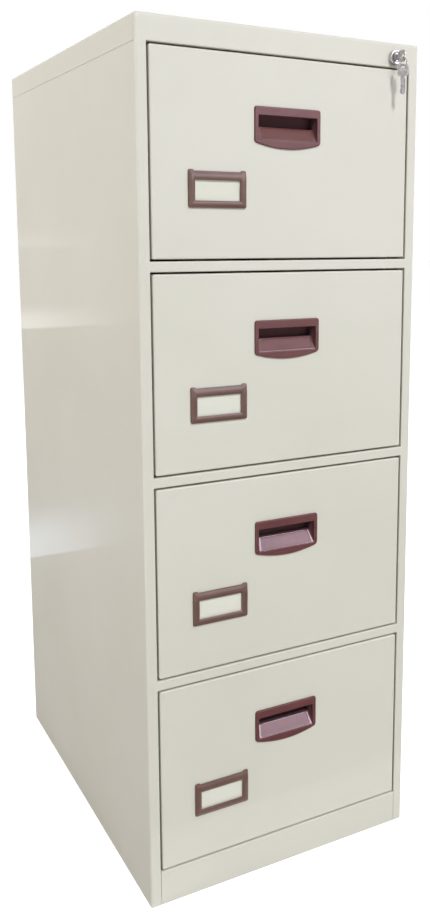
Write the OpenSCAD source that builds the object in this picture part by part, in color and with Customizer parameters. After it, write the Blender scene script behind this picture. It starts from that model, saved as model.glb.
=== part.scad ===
// Four-drawer vertical filing cabinet of folded sheet steel.
// The front faces -Y, X runs across the width, and Z = 0 is the floor under the middle of the case.

/* [Case] */
// Height of the case
body_h = 1320; // [1260:1:1400]
// Width of the case
body_w = 470; // [450:1:500]
// Depth of the case, front frame to back sheet
body_d = 675; // [670:1:720]
// Steel sheet of the case
sheet = 1; // [0.8:0.1:1.2]
// Outside radius of the folded edges of the case
bend_r = 3; // [2:0.5:4]
// Fine seam between two sheets of the case
seam = 0.6; // [0.4:0.1:1]
// Height of the skirts of the top cap
skirt_h = 37; // [28:1:40]
// Height of the laps that run behind a seam
lap_h = 18; // [12:1:24]
// Height of the turned-up edges of the base plate
base_edge_h = 20; // [15:1:30]

/* [Front frame] */
// Face width of a stile
stile_w = 16.5; // [16:0.5:20]
// Face height of the top rail
top_rail_h = 37; // [36:1:40]
// Face height of a cross rail
rail_h = 15; // [14:1:24]
// Height of the plinth
plinth_h = 54.5; // [45:0.5:80]
// Depth of the returns folded behind the faces
return_d = 20; // [14:1:20]
// Outside radius of the folds round the drawer openings
fold_r = 1.6; // [1.3:0.1:2.5]

/* [Uprights] */
// Width of an upright across its web
upright_w = 40; // [30:1:50]
// Width of each foot that an upright stands on the side sheet with
upright_foot = 12; // [8:1:16]
// Distance from the front frame to the middle of the front uprights
upright_front = 95; // [90:1:140]
// Distance from the back sheet to the middle of the rear uprights
upright_rear = 75; // [70:1:120]

/* [Drawers] */
// Gap all round a drawer front
front_gap = 3; // [2:0.5:4]
// Depth of a drawer front
pan_d = 25; // [24:1:30]
// Outside radius of the edges of a drawer front
front_r = 2; // [1.5:0.5:3]
// Outside radius of the corners of a drawer front
corner_r = 3.5; // [3:0.5:6]
// Rim turned in at the back of a drawer front
pan_rim = 10; // [6:1:16]
// Steel sheet of the drawers
drawer_sheet = 0.8; // [0.6:0.1:1]
// Clearance under a tray
tray_foot = 8; // [5:1:14]
// Clearance over a tray for the tabs of hanging files
tray_head = 44; // [36:1:70]
// Clearance behind a tray
tray_tail = 40; // [34:1:80]
// Drop of the tray's back below its sides
back_drop = 30; // [0:1:80]
// Width and depth of the rolled rails along the top of the tray sides
hem = 5; // [3:0.5:8]

/* [Slides] */
// Clearance between a slide and the edge of the drawer opening
slide_clear = 0.7; // [0.5:0.1:1.5]
// Height of the outer slide members
slide_h = 45; // [44:0.5:52]
// Width of a slide from upright to tray
slide_w = 12.7; // [12.5:0.1:14]
// Steel of the slide members
slide_sheet = 1.2; // [1:0.1:1.3]
// Length of the slide members
slide_l = 600; // [540:1:610]
// Travel of a drawer on its slides
travel = 560; // [480:1:570]
// Height of the middle of the slides over the bottom of the tray
slide_up = 70; // [40:1:90]
// Setback of the slides behind a drawer front
slide_set = 8; // [7:0.5:10]
// Diameter of the bearing balls
ball_d = 4.2; // [3.6:0.1:4.4]
// Running clearance of balls and cages
run_clear = 0.2; // [0.15:0.01:0.3]
// Sheet of the ball cages
cage_t = 0.5; // [0.4:0.05:0.6]
// Clearance of a cage's web
cage_clear = 0.35; // [0.3:0.05:0.4]
// Balls in each row of a cage
row_balls = 4; // [3:1:8]

/* [Pull handles] */
// Width of a handle's flange
handle_w = 111; // [90:1:130]
// Height of the flange at its ends
handle_h = 51; // [46:1:58]
// Bow of the flange's lower edge
handle_bow = 8.5; // [5:0.5:12]
// Thickness of the flange
handle_t = 3; // [2:0.5:4]
// Corner radius of the flange
handle_r = 4; // [2:0.5:8]
// Drop of the handle below the edge of its drawer opening
handle_drop = 74; // [40:1:100]
// Width of the flange beside the finger opening
handle_side = 6.5; // [5:0.5:10]
// Height of the bar over the finger opening
handle_bar = 12.5; // [11:0.5:16]
// Height of the flange's ends below the finger opening
handle_sill = 4; // [3:0.5:6]
// Depth of the finger cup behind the drawer's face
cup_d = 20; // [18:0.5:21]
// Wall of the finger cup
cup_wall = 1.8; // [1.2:0.1:2.2]
// Thickness of the bar behind the drawer's face
bar_back = 3; // [2:0.5:4]
// Reach of the finger pocket up behind the bar
pocket_up = 6; // [4:0.5:8]
// Rise of the sloping ledge in the cup
ledge_rise = 19; // [15:0.5:21]
// Run of the sloping ledge in the cup
ledge_run = 16; // [12:0.5:17]
// Clearance of the cup in the drawer front
cup_clear = 0.3; // [0.2:0.1:0.6]
// Reach of the snap catches beside the cup
snap = 2.4; // [1.5:0.1:3]

/* [Label holders] */
// Width of a label holder
label_w = 91; // [80:1:110]
// Height of a label holder with its ears
label_h = 53.5; // [48:0.5:64]
// Thickness of a label holder
label_t = 3; // [2.5:0.5:4]
// Drop of a label holder below the edge of its drawer opening
label_drop = 167; // [140:1:200]
// Distance of the holder's middle from the left edge of its drawer front
label_edge = 100.5; // [80:0.5:120]
// Width of the window
window_w = 71; // [60:1:74]
// Height of the window
window_h = 29; // [26:0.5:32]
// Border under the window
window_sill = 10; // [8:0.5:12]
// Bevel round the window
bevel = 2; // [1:0.5:2.5]
// Width of an ear
ear_w = 8; // [6:0.5:10]
// Height of an ear
ear_h = 2; // [1:0.5:3]
// Width of the border that the card does not reach
card_edge = 4; // [3.6:0.1:5]
// Depth of the card slot
card_slot = 0.7; // [0.6:0.1:1]
// Thickness of the card
card_t = 0.4; // [0.2:0.1:0.5]
// Diameter of the pegs behind a label holder
peg_d = 3; // [2:0.1:3.4]

/* [Lock] */
// Distance of the lock from the right edge of the case
lock_in = 45; // [40:0.5:60]
// Distance of the lock below the top of the case
lock_down = 22.5; // [20:0.5:23]
// Diameter of the lock's head
lock_head_d = 22.5; // [20:0.5:24]
// Projection of the lock's head
lock_head_t = 7; // [5:0.5:9]
// Diameter of the housing behind the head
housing_d = 18; // [17:0.5:18.5]
// Length of the housing behind the face
housing_l = 22; // [21:0.5:23]
// Diameter of the turning plug
plug_d = 13; // [12:0.5:14]
// Radial clearance round plug and housing
lock_clear = 0.3; // [0.2:0.05:0.4]
// Width over the flats of the nut
nut_w = 24; // [22:0.5:24]
// Thickness of the nut
nut_t = 5; // [4:0.5:6]
// Square tail of the plug
tail_w = 7; // [6:0.5:7]
// Diameter of the head that holds the cam on the tail
tail_head_d = 11; // [10.5:0.1:11.5]
// Thickness of the head that holds the cam
tail_head_t = 2; // [1.5:0.5:2.5]
// Thickness of the cam
cam_t = 2.5; // [2:0.5:3]
// Radius of the drive pin about the lock
cam_r = 9; // [8:0.5:9.5]
// Diameter of the drive pin
pin_d = 5; // [4:0.5:6]
// Half of the turn of the plug, below and above level
half_turn = 45; // [40:1:45]

/* [Lock bar] */
// Width of the lock bar
bar_w = 12; // [10:0.5:12]
// Thickness of the lock bar
bar_t = 3; // [2:0.5:3]
// Distance of the bar behind the back of a drawer front
bar_set = 3; // [2.5:0.5:3.5]
// Sliding clearance of bar, pin and guides
bar_clear = 0.4; // [0.3:0.1:0.6]
// Height of a lug
lug_h = 12; // [8:1:16]
// Height of the lugs' tops over the tray bottoms
lug_up = 130; // [115:1:160]
// Gap between a lug and the side of the tray that passes it
lug_side = 1; // [0.6:0.1:2]
// Height of a drawer's catch
catch_h = 16; // [12:1:20]
// Thickness of a drawer's catch
catch_t = 2; // [1.5:0.5:3]
// Gap between the top of a lowered lug and the catch that passes over it
catch_gap = 2; // [1:0.5:3]
// Play of a locked drawer between lug and catch
catch_play = 2.5; // [1:0.5:4]
// Steel of the guides
guide_t = 1.2; // [1:0.1:1.4]
// Height of a guide
guide_h = 15; // [10:1:25]

/* [Keys] */
// Length of a key's bow
bow_l = 19; // [17:0.5:24]
// Width of a key's bow
bow_w = 18; // [16:0.5:22]
// Corner radius of a key's bow
bow_r = 6; // [4:0.5:8]
// Thickness of a key
key_t = 2; // [1.6:0.1:2.2]
// Length of a key's neck
neck_l = 3; // [2:0.5:5]
// Length of a key's blade
blade_l = 18; // [14:0.5:20]
// Width of a key's blade
blade_w = 8; // [7:0.5:8.5]
// Depth of the cuts in a blade
cut_d = 1.8; // [1:0.1:2.2]
// Diameter of the hole in a bow
hole_d = 5.2; // [5:0.1:6]
// Distance from the end of a bow to its hole
hole_in = 5.5; // [5:0.1:7]
// Radius of the ring to the middle of its wire
ring_r = 6.8; // [6:0.1:7]
// Diameter of the ring's wire
wire_d = 1.4; // [1.2:0.1:1.6]

/* [Hidden] */
$fn = 64;
drawers = 4;

CASE_NODES = [
    "side_left", "side_right", "top_cap", "back_panel", "base_plate", "plinth", "top_rail",
    "cross_rails", "uprights_left", "uprights_right"
];
LOCK_NODES = [
    "lock_housing", "lock_nut", "lock_bar_guides", "lock_plug", "lock_cam", "key", "lock_bar",
    "lock_lugs", "key_ring"
];
DRAWER_PARTS = [
    "drawer_front", "drawer_tray", "handle", "label_holder", "label_card", "runner_pair",
    "slide_pair", "rail_pair", "cage_outer", "cage_inner"
];

cream = [0.86, 0.85, 0.80];
brown = [0.48, 0.35, 0.35];
zinc = [0.72, 0.73, 0.74];
nickel = [0.80, 0.80, 0.78];
paper = [0.95, 0.94, 0.90];

front_y = -body_d / 2;
back_y = body_d / 2;
half_w = body_w / 2;
// length by which a cutting shape passes the face that it cuts
over = 1;

// the drawer openings of the front frame
open_w = body_w - 2 * stile_w;
open_h = (body_h - top_rail_h - plinth_h - (drawers - 1) * rail_h) / drawers;
pitch = open_h + rail_h;
function open_top(i) = body_h - top_rail_h - (i - 1) * pitch;
function open_floor(i) = open_top(i) - open_h;

// the cap begins behind the rounded front edge and its seam
cap_y = front_y + bend_r + seam;
wall_top = body_h - skirt_h - seam;
lap_top = body_h - sheet - bend_r;

// the slide, measured inwards from the uprights (u) and up from its middle (v)
slide_x = open_w / 2 - slide_clear;
slide_y = front_y + pan_d + slide_set;
outer_in = slide_h / 2 - slide_sheet;
race = ball_d + 2 * run_clear;
mid_out = outer_in - race;
mid_in = mid_out - slide_sheet;
rail_out = mid_in - race;
rail_in = rail_out - slide_sheet;
mid_u = slide_sheet + cage_t + 2 * cage_clear;
rail_u = mid_u + slide_sheet + cage_t + 2 * cage_clear;
rail_web_u = slide_w - slide_sheet;
mid_end = rail_web_u - 2 * cage_clear;
outer_end = mid_end - slide_sheet;
lip = 0.8;
cage_l = slide_l - travel / 2 - 2 * ball_d;
cage_y = slide_y + slide_l - travel / 4 - ball_d - cage_l;

// the trays and drawer fronts
tray_x = slide_x - slide_w;
tray_y = front_y + pan_d;
tray_h = open_h - tray_foot - tray_head;
front_w = open_w - 2 * front_gap;
front_h = open_h - 2 * front_gap;
function tray_floor(i) = open_floor(i) + tray_foot;
function slide_z(i) = tray_floor(i) + slide_up;

// the finger cup, measured from the top of the handle's flange
cup_half = handle_w / 2 - handle_side;
cup_sill = -handle_h + handle_sill;
cup_top = -handle_bar + pocket_up;
function handle_z(i) = open_top(i) - handle_drop;

// the label holder, measured from the tops of its ears
label_off = front_w / 2 - label_edge;
window_z = -label_h + window_sill;
function label_z(i) = open_top(i) - label_drop;

// the lock, its bar and its keys
lock_x = half_w - lock_in;
lock_z = body_h - lock_down;
lock_face = front_y - lock_head_t;
cam_y = front_y + housing_l;
bar_x = half_w - stile_w + 2;
bar_y = front_y + pan_d + bar_set;
function lug_z(i) = tray_floor(i) + lug_up;
catch_x = slide_x - 2 * slide_clear;
catch_y = bar_y + bar_t + catch_play;
pin_x = lock_x + cam_r * cos(half_turn);
pin_z = lock_z - cam_r * sin(half_turn);
// the pin's round path strays from the bar's straight lift by this much
pin_stray = 0.03 * cam_r;
slot_h = pin_d / 2 + bar_clear + pin_stray;
bar_foot = lug_z(drawers) - 4 * lug_h;
bar_head = pin_z + slot_h + bar_t;
key_y = lock_face - neck_l - bow_l + hole_in;
ring_z = lock_z - hole_d / 2 + wire_d / 2 + run_clear - ring_r;

// Box between two corners.
module box(x0, x1, y0, y1, z0, z1) {
    translate([x0, y0, z0]) cube([x1 - x0, y1 - y0, z1 - z0]);
}

// Flat rectangle between two corners.
module rect(a0, a1, b0, b1) {
    translate([a0, b0]) square([a1 - a0, b1 - b0]);
}

// Flat rectangle with four round corners.
module round_rect(a0, a1, b0, b1, r) {
    rect(a0 + r, a1 - r, b0, b1);
    rect(a0, a1, b0 + r, b1 - r);
    for (a = [a0 + r, a1 - r])
        for (b = [b0 + r, b1 - r])
            translate([a, b]) circle(r);
}

// A flat outline in X and Z, drawn out along Y.
module along_y(y0, y1) {
    translate([0, y1, 0]) rotate([90, 0, 0]) linear_extrude(y1 - y0) children();
}

// A flat outline in Y and Z, drawn out along X.
module along_x(x0, x1) {
    translate([x0, 0, 0]) rotate([90, 0, 90]) linear_extrude(x1 - x0) children();
}

// A flat outline in X and Y, drawn up along Z.
module along_z(z0, z1) {
    translate([0, 0, z0]) linear_extrude(z1 - z0) children();
}

// A round bar along Y.
module bar_along_y(x, z, y0, y1, d) {
    translate([x, y1, z]) rotate([90, 0, 0]) cylinder(h = y1 - y0, d = d);
}

// The right-hand piece and its mirror image.
module both_sides() {
    children();
    mirror([1, 0, 0]) children();
}

// The outer form of the case with its folded edges, drawn in on all sides by an inset.
module case_form(inset, z0) {
    r = bend_r - inset;
    x = half_w - inset;
    y = body_d / 2 - inset;
    top = body_h - inset;
    intersection() {
        along_z(z0, top + over) round_rect(-x, x, -y, y, r);
        along_y(-y - over, y + over) round_rect(-x, x, z0 - 2 * bend_r - over, top, r);
        along_x(-x - over, x + over) round_rect(-y, y, z0 - 2 * bend_r - over, top, r);
    }
}

// The steel skin of the case, from which each outer sheet takes its zone.
module case_skin() {
    difference() {
        case_form(0, 0);
        case_form(sheet, -over);
    }
}

// Right side sheet with its stile, its rear flange and the lap behind the cap's skirt.
module side_sheet() {
    inner = half_w - stile_w;
    difference() {
        union() {
            difference() {
                intersection() {
                    case_skin();
                    box(inner, half_w + over, front_y - over, back_y + over, 0, body_h + over);
                }
                box(inner - over, half_w + over, front_y + bend_r, back_y + over, wall_top, body_h + over);
            }
            box(inner, inner + sheet, front_y + sheet / 2, front_y + return_d, sheet, body_h - 2 * sheet);
        }
        for (i = [1:drawers])
            along_z(open_floor(i), open_top(i)) difference() {
                rect(inner - over, inner + fold_r, front_y - over, front_y + fold_r);
                translate([inner + fold_r, front_y + fold_r]) circle(fold_r);
            }
    }
    along_y(front_y + return_d, back_y - return_d) polygon([
        [half_w - sheet / 2, wall_top - lap_h],
        [half_w - 2 * sheet, wall_top - lap_h],
        [half_w - 2 * sheet, lap_top],
        [half_w - sheet, lap_top],
        [half_w - sheet, wall_top],
        [half_w - sheet / 2, wall_top]
    ]);
}

module side_right() {
    color(cream) side_sheet();
}

module side_left() {
    color(cream) mirror([1, 0, 0]) side_sheet();
}

// Cap: the top sheet with skirts down both sides and the back.
module top_cap() {
    color(cream) intersection() {
        case_skin();
        box(-body_w, body_w, cap_y, back_y + over, body_h - skirt_h, body_h + over);
    }
}

// Back sheet with laps behind the seams to the sides and the cap.
module back_panel() {
    edge = open_w / 2 - seam;
    color(cream) {
        intersection() {
            case_skin();
            box(-edge, edge, 0, back_y + over, 0, wall_top);
        }
        both_sides() along_z(base_edge_h + lap_h, wall_top) polygon([
            [edge - lap_h, back_y - sheet / 2],
            [edge - lap_h, back_y - 2 * sheet],
            [half_w - 2 * bend_r, back_y - 2 * sheet],
            [half_w - 2 * bend_r, back_y - sheet],
            [edge, back_y - sheet],
            [edge, back_y - sheet / 2]
        ]);
        along_x(-edge + 2 * lap_h, edge - 2 * lap_h) polygon([
            [back_y - sheet / 2, wall_top - lap_h],
            [back_y - 2 * sheet, wall_top - lap_h],
            [back_y - 2 * sheet, lap_top],
            [back_y - sheet, lap_top],
            [back_y - sheet, wall_top],
            [back_y - sheet / 2, wall_top]
        ]);
    }
}

// Base plate between the sheets, with edges turned up against the sides and the back.
module base_plate() {
    x = half_w - sheet;
    y = body_d / 2 - sheet;
    color(cream) {
        along_z(0, sheet) round_rect(-x, x, -y, y, bend_r - sheet);
        both_sides() box(x - sheet, x, -y + return_d, y - return_d, 0, base_edge_h);
        box(-x + return_d, x - return_d, y - sheet, y, 0, base_edge_h);
    }
}

// A folded edge: face, return to the back and a lip, open inside.
module folded_channel(z0, z1) {
    deep = front_y + return_d;
    difference() {
        intersection() {
            round_rect(front_y, deep + 2 * fold_r, z0, z1, fold_r);
            rect(front_y, deep, z0, z1);
        }
        round_rect(front_y + sheet, deep + 2 * fold_r, z0 + sheet, z1 - sheet, fold_r - sheet);
    }
}

// Kick plate under the lowest drawer, with a return at its top.
module plinth() {
    end = open_w / 2 - seam;
    color(cream) along_x(-end, end) intersection() {
        folded_channel(-plinth_h, plinth_h);
        rect(front_y - over, back_y, 0, plinth_h + over);
    }
}

// Rail over the top drawer: face with a rounded top edge, a flange under the cap and a lower return.
module top_rail() {
    end = open_w / 2;
    z0 = body_h - top_rail_h;
    color(cream) difference() {
        union() {
            intersection() {
                case_skin();
                box(-end, end, front_y - over, front_y + bend_r, z0 + fold_r, body_h + over);
            }
            box(-end, end, front_y + sheet, front_y + return_d, body_h - 2 * sheet, body_h - sheet);
            along_x(-end, end) intersection() {
                folded_channel(z0, body_h + top_rail_h);
                rect(front_y - over, back_y, z0, z0 + 2 * fold_r);
            }
        }
        bar_along_y(lock_x, lock_z, front_y - over, front_y + return_d, housing_d + 2 * lock_clear);
    }
}

// Three rails between the drawers.
module cross_rails() {
    color(cream) for (i = [1:drawers - 1])
        along_x(-open_w / 2, open_w / 2) folded_channel(open_floor(i) - rail_h, open_floor(i));
}

// Hat-shaped upright on the side sheet, with its web in line with the backs of the slides.
module upright(y) {
    wall = half_w - sheet;
    half = upright_w / 2;
    along_z(base_edge_h + seam, wall_top - lap_h - seam) {
        rect(slide_x, slide_x + sheet, y - half, y + half);
        for (side = [-1, 1]) {
            web = y + side * (half - sheet / 2);
            foot = y + side * (half + upright_foot / 2 - sheet / 2);
            rect(slide_x, wall, web - sheet / 2, web + sheet / 2);
            rect(wall - sheet, wall, foot - upright_foot / 2, foot + upright_foot / 2);
        }
    }
}

module uprights() {
    color(zinc) {
        upright(front_y + upright_front);
        upright(back_y - upright_rear);
    }
}

module uprights_right() {
    uprights();
}

module uprights_left() {
    mirror([1, 0, 0]) uprights();
}

// An outline measured inwards from an upright (u) and up from the slide's middle (v), on both sides.
module slide_section(i, y0, y1) {
    both_sides() translate([slide_x, 0, slide_z(i)]) mirror([1, 0, 0]) along_y(y0, y1) children();
}

// Outer members, fixed to the uprights.
module runner_pair(i) {
    half = slide_h / 2;
    color(zinc) slide_section(i, slide_y, slide_y + slide_l) {
        difference() {
            rect(0, outer_end, -half, half);
            rect(slide_sheet, outer_end + over, -outer_in, outer_in);
        }
        for (side = [-1, 1])
            rect(outer_end - lip, outer_end, side * outer_in - lip, side * outer_in + lip);
    }
}

// Middle members, which run half as far as the drawer.
module slide_pair(i) {
    color(zinc) slide_section(i, slide_y, slide_y + slide_l) difference() {
        rect(mid_u, mid_end, -mid_out, mid_out);
        rect(mid_u + slide_sheet, mid_end + over, -mid_in, mid_in);
    }
}

// Inner members, fixed to the tray, and the catch above the right one that the lug holds.
module rail_pair(i) {
    color(zinc) {
        slide_section(i, slide_y, slide_y + slide_l) difference() {
            rect(rail_u, slide_w, -rail_out, rail_out);
            rect(rail_u - over, rail_web_u, -rail_in, rail_in);
        }
        along_y(catch_y, catch_y + catch_t)
            rect(tray_x, catch_x, lug_z(i) + catch_gap, lug_z(i) + catch_gap + catch_h);
    }
}

// Ball cages on both sides: a web at u0, two strips at a height v and a row of balls in each strip.
module ball_cage(i, u0, ball_u, v) {
    strip_end = ball_u + ball_d / 2 + cage_t;
    slide_section(i, cage_y, cage_y + cage_l) {
        rect(u0, u0 + cage_t, -v - cage_t / 2, v + cage_t / 2);
        for (side = [-1, 1])
            rect(u0, strip_end, side * v - cage_t / 2, side * v + cage_t / 2);
    }
    step = cage_l / row_balls;
    both_sides()
        for (row = [-1, 1])
            for (k = [0:row_balls - 1])
                translate([slide_x - ball_u, cage_y + (k + 0.5) * step, slide_z(i) + row * v])
                    sphere(d = ball_d);
}

module cage_outer(i) {
    color(nickel) ball_cage(
        i, slide_sheet + cage_clear, (mid_u + outer_end) / 2, (outer_in + mid_out) / 2
    );
}

module cage_inner(i) {
    color(nickel) ball_cage(
        i, mid_u + slide_sheet + cage_clear, (rail_u + mid_end) / 2, (mid_in + rail_out) / 2
    );
}

// A closed box form with rounded front edges and corners, drawn in by an inset.
module front_form(i, inset, deep) {
    x = front_w / 2 - inset;
    y = front_y + inset;
    z0 = open_floor(i) + front_gap + inset;
    z1 = open_top(i) - front_gap - inset;
    intersection() {
        along_y(y, deep) round_rect(-x, x, z0, z1, corner_r - inset);
        along_z(z0, z1) round_rect(-x, x, y, deep + 2 * front_r, front_r - inset);
        along_x(-x, x) round_rect(y, deep + 2 * front_r, z0, z1, front_r - inset);
    }
}

// Drawer front: a folded pan cut for the handle's cup and the label pegs, with a skin on its rim.
module drawer_front(i) {
    rim = pan_rim;
    x = front_w / 2 - rim;
    z0 = open_floor(i) + front_gap + rim;
    z1 = open_top(i) - front_gap - rim;
    cut_half = cup_half + cup_wall + cup_clear;
    cut_top = handle_z(i) + cup_top + cup_wall + cup_clear;
    cut_floor = handle_z(i) + cup_sill - cup_wall - cup_clear;
    skin_x = front_w / 2 - front_r;
    color(cream) along_y(tray_y - drawer_sheet / 2, tray_y + drawer_sheet)
        round_rect(
            -skin_x, skin_x, open_floor(i) + front_gap + front_r, open_top(i) - front_gap - front_r,
            corner_r
        );
    color(cream) difference() {
        front_form(i, 0, front_y + pan_d);
        front_form(i, drawer_sheet, front_y + pan_d - drawer_sheet);
        box(-x, x, front_y + pan_d / 2, front_y + pan_d + over, z0, z1);
        box(-cut_half, cut_half, front_y - over, front_y + pan_d / 2, cut_floor, cut_top);
        for (side = [-1, 1])
            bar_along_y(
                side * (label_w - card_edge) / 2 - label_off, label_z(i) - label_h / 2,
                front_y - over, front_y + pan_d / 2, peg_d + 2 * cup_clear
            );
    }
}

// Tray: folded bottom and sides with rolled file rails, and a lower back.
module drawer_tray(i) {
    t = drawer_sheet;
    z0 = tray_floor(i);
    z1 = z0 + tray_h;
    y1 = back_y - tray_tail;
    color(cream) {
        along_y(tray_y + t, y1) {
            difference() {
                intersection() {
                    round_rect(-tray_x, tray_x, z0, z1 + 2 * front_r, front_r);
                    rect(-tray_x, tray_x, z0, z1);
                }
                round_rect(-tray_x + t, tray_x - t, z0 + t, z1 + 2 * front_r, front_r - t);
            }
            for (side = [-1, 1]) {
                inner = side * (tray_x - hem + t / 2);
                middle = side * (tray_x - hem / 2);
                rect(middle - hem / 2, middle + hem / 2, z1 - t, z1);
                rect(inner - t / 2, inner + t / 2, z1 - hem, z1);
            }
        }
        box(-tray_x + t / 2, tray_x - t / 2, y1 - t, y1, z0 + t / 2, z1 - back_drop);
    }
}

// Outline of a handle's flange: a rounded rectangle with its lower edge bowed down in an arc.
module handle_outline() {
    arc_r = (pow(handle_w / 2, 2) + pow(handle_bow, 2)) / (2 * handle_bow);
    low = -handle_h - handle_bow;
    intersection() {
        round_rect(-handle_w / 2, handle_w / 2, low - 2 * handle_r, 0, handle_r);
        translate([0, low + arc_r]) circle(arc_r, $fn = 720);
    }
}

// Flush pull: flange, finger cup with a sloping ledge and a pocket up behind the bar, and snap catches.
module handle(i) {
    wall = cup_half + cup_wall;
    color(brown) translate([0, front_y, handle_z(i)]) difference() {
        union() {
            along_y(-handle_t, 0) handle_outline();
            box(-wall, wall, -handle_t / 2, cup_d + cup_wall, cup_sill - cup_wall, cup_top + cup_wall);
            both_sides() box(
                cup_half, wall + snap, drawer_sheet, drawer_sheet + snap, -handle_h / 2, -handle_bar
            );
        }
        along_x(-cup_half, cup_half) polygon([
            [-handle_t - over, -handle_bar],
            [bar_back, -handle_bar],
            [bar_back, cup_top],
            [cup_d, cup_top],
            [cup_d, cup_sill + ledge_rise],
            [ledge_run, cup_sill + ledge_rise],
            [0, cup_sill],
            [-handle_t - over, cup_sill]
        ]);
    }
}

// Label holder: a bevelled frame with two ears, a slot behind it for the card, and two pegs.
module label_holder(i) {
    half = label_w / 2;
    slot = half - card_edge;
    color(brown) translate([-label_off, front_y, label_z(i)]) {
        difference() {
            along_y(-label_t, 0) {
                round_rect(-half, half, -label_h, -ear_h, ear_h);
                for (side = [-1, 1]) {
                    middle = side * (half - ear_w / 2);
                    rect(middle - ear_w / 2, middle + ear_w / 2, -label_h / 2, 0);
                }
            }
            along_y(-label_t - over, over)
                rect(-window_w / 2, window_w / 2, window_z, window_z + window_h);
            intersection() {
                along_z(-label_h, 0) window_flare(window_w / 2, 0);
                along_x(-half, half) mirror([1, -1])
                    window_flare(window_h / 2, window_z + window_h / 2);
            }
            box(-slot, slot, -card_slot, over, -label_h + card_edge, over);
        }
        both_sides() bar_along_y(
            half - card_edge / 2, -label_h / 2, -label_t / 2, 2 * peg_d, peg_d
        );
    }
}

// Flared cut through the thickness of a label holder, across one width of its window.
module window_flare(half, middle) {
    polygon([
        [middle - half - bevel, -label_t - over],
        [middle + half + bevel, -label_t - over],
        [middle + half + bevel, -label_t],
        [middle + half, -card_slot],
        [middle - half, -card_slot],
        [middle - half - bevel, -label_t]
    ]);
}

// Card behind the window, against the drawer's face.
module label_card(i) {
    half = label_w / 2 - card_edge - cup_clear;
    color(paper) translate([-label_off, front_y, label_z(i)])
        box(-half, half, -card_t, 0, -label_h + card_edge + cup_clear, -2 * ear_h);
}

// Housing of the lock: a chamfered head outside and a sleeve through the top rail.
module lock_housing() {
    edge = 1.2;
    color(nickel) difference() {
        union() {
            translate([lock_x, front_y, lock_z]) rotate([90, 0, 0]) {
                cylinder(h = lock_head_t - edge, d = lock_head_d);
                translate([0, 0, lock_head_t - edge])
                    cylinder(h = edge, d1 = lock_head_d, d2 = lock_head_d - 2 * edge);
            }
            bar_along_y(lock_x, lock_z, front_y, cam_y, housing_d);
        }
        bar_along_y(lock_x, lock_z, lock_face - over, cam_y + over, plug_d + 2 * lock_clear);
    }
}

// Hexagon nut that holds the housing in the top rail.
module lock_nut() {
    y0 = front_y + sheet;
    color(zinc) difference() {
        translate([lock_x, y0 + nut_t, lock_z]) rotate([90, 0, 0])
            cylinder(h = nut_t, d = nut_w / cos(30), $fn = 6);
        bar_along_y(lock_x, lock_z, y0 - over, y0 + nut_t + over, housing_d + lock_clear);
    }
}

// Plug with its keyway, the square tail for the cam and the head that holds the cam on.
module lock_plug() {
    way_h = blade_w / 2 + run_clear;
    way_w = key_t / 2 + run_clear;
    color(nickel) difference() {
        union() {
            bar_along_y(lock_x, lock_z, lock_face, cam_y, plug_d);
            along_y(cam_y - over, cam_y + cam_t + over)
                rect(lock_x - tail_w / 2, lock_x + tail_w / 2, lock_z - tail_w / 2, lock_z + tail_w / 2);
            bar_along_y(lock_x, lock_z, cam_y + cam_t, cam_y + cam_t + tail_head_t, tail_head_d);
        }
        box(
            lock_x - way_w, lock_x + way_w, lock_face - over, lock_face + blade_l + over,
            lock_z - way_h, lock_z + way_h
        );
    }
}

// Cam on the plug's tail, with the pin that lifts the bar.
module lock_cam() {
    color(zinc) {
        along_y(cam_y, cam_y + cam_t) difference() {
            union() {
                translate([lock_x, lock_z]) {
                    circle(d = plug_d + 4 * lock_clear + cam_t);
                    rotate(-half_turn) rect(0, cam_r, -pin_d * 0.8, pin_d * 0.8);
                }
                translate([pin_x, pin_z]) circle(pin_d * 0.8);
            }
            rect(lock_x - tail_w / 2, lock_x + tail_w / 2, lock_z - tail_w / 2, lock_z + tail_w / 2);
        }
        bar_along_y(pin_x, pin_z, cam_y + cam_t / 2, bar_y + bar_t + over, pin_d);
    }
}

// Flat key with the hole of its bow at the origin and its blade along X.
module key_form() {
    bow_end = bow_l - hole_in;
    cuts = 4;
    step = (blade_l - blade_w / 2) / cuts;
    linear_extrude(key_t, center = true) difference() {
        union() {
            round_rect(-hole_in, bow_end, -bow_w / 2, bow_w / 2, bow_r);
            rect(bow_end - bow_r / 2, bow_end + neck_l, -blade_w * 0.65, blade_w * 0.65);
            rect(bow_end, bow_end + neck_l + blade_l - blade_w / 2, -blade_w / 2, blade_w / 2);
            translate([bow_end + neck_l + blade_l - blade_w / 2, 0]) circle(d = blade_w);
        }
        circle(d = hole_d);
        for (k = [1:cuts]) {
            deep = cut_d * (0.7 + 0.3 * cos(140 * k));
            translate([bow_end + neck_l + k * step, -blade_w / 2]) polygon([
                [-step / 2, -over],
                [-step / 6, deep],
                [step / 6, deep],
                [step / 2, -over]
            ]);
        }
    }
}

// Key in the lock, its bow upright.
module key() {
    color(nickel) translate([lock_x, key_y, lock_z]) rotate([90, 0, 90]) key_form();
}

// Ring that hangs in the hole of the key's bow.
module key_ring() {
    color(nickel) translate([lock_x, key_y, ring_z]) rotate([90, 0, 0]) rotate_extrude()
        translate([ring_r, 0]) circle(d = wire_d);
}

// Lock bar: a flat strip behind the right stile.
module lock_bar() {
    color(zinc) along_y(bar_y, bar_y + bar_t) rect(bar_x, bar_x + bar_w, bar_foot, bar_head);
}

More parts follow.
